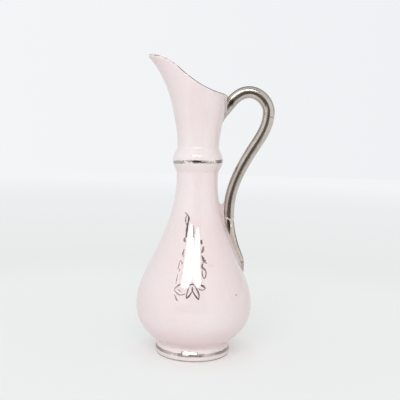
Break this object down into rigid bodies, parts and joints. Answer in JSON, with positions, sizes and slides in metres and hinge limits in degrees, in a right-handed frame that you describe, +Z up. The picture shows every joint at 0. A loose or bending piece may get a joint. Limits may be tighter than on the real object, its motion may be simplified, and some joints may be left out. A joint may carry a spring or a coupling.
{
  "type": "cream jug",
  "caption": "Slender footed cream jug with a pear-shaped belly, narrow beaded neck, slanted pouring lip and tall S-curved handle.",
  "frame": {"origin": "centre of the foot on the table", "axes": "+Z up, -X towards the pouring lip, +X towards the handle, -Y towards the painted front"},
  "size_m": [0.0714, 0.0624, 0.1593],
  "materials": {
    "pink_glaze": "pale pink porcelain under a clear glossy glaze",
    "slip": "pink slip fillet under the same glaze, slightly greyed by lustre",
    "lustred_handle": "porcelain coated all over with bright platinum lustre",
    "platinum_line": "thin hand-painted platinum lustre, worn in places"
  },
  "bodies": {
    "root": {"body": "pink_glaze", "foot_ring": "pink_glaze", "neck_spout": "pink_glaze", "handle": "lustred_handle", "upper_luting": "slip", "lower_luting": "slip", "rim_line": "platinum_line", "neck_band": "platinum_line", "foot_band": "platinum_line", "sprig": "platinum_line"}
  },
  "joints": []
}
